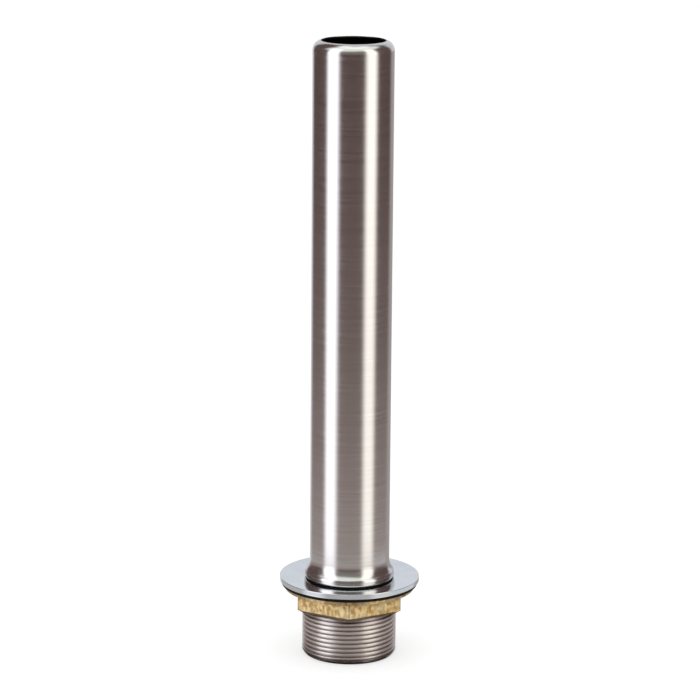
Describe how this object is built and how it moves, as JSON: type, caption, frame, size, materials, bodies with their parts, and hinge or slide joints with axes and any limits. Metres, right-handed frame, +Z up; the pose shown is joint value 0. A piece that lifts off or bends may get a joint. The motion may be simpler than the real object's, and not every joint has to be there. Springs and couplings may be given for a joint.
{
  "type": "standing waste with lift-out standpipe",
  "caption": "Sink standing waste: polished overflow standpipe with rolled-in lip seated in a dished, flanged waste with a threaded tail, rubber washer and flanged hexagon backnut.",
  "frame": {"origin": "centre of the tail's end face, where the part stands", "axes": "+Z up along the pipe's axis, a corner of the hexagon nut towards -Y"},
  "size_m": [0.071, 0.071, 0.3145],
  "materials": {
    "stainless_steel": "polished tube",
    "chrome": "bright plate, duller on the thread",
    "brass": "as cast",
    "rubber": "matt black"
  },
  "bodies": {
    "waste": {"waste_body": "chrome", "standpipe": "stainless_steel", "seal_ring": "rubber"},
    "washer": {"rubber_washer": "rubber"},
    "nut": {"backnut": "brass"}
  },
  "joints": [
    {"name": "washer_travel", "type": "slide", "parent": "waste", "child": "washer", "axis": [0, 0, -1], "range_m": [0, 0.0231]},
    {"name": "nut_turn", "type": "hinge", "parent": "washer", "child": "nut", "pos_m": [0, 0, 0.0303], "axis": [0, 0, -1], "range_deg": [0, 3600]}
  ],
  "couplings": [
    {"joint": "washer_travel", "follows": "nut_turn", "m_per_rad": 0.00036749}
  ]
}
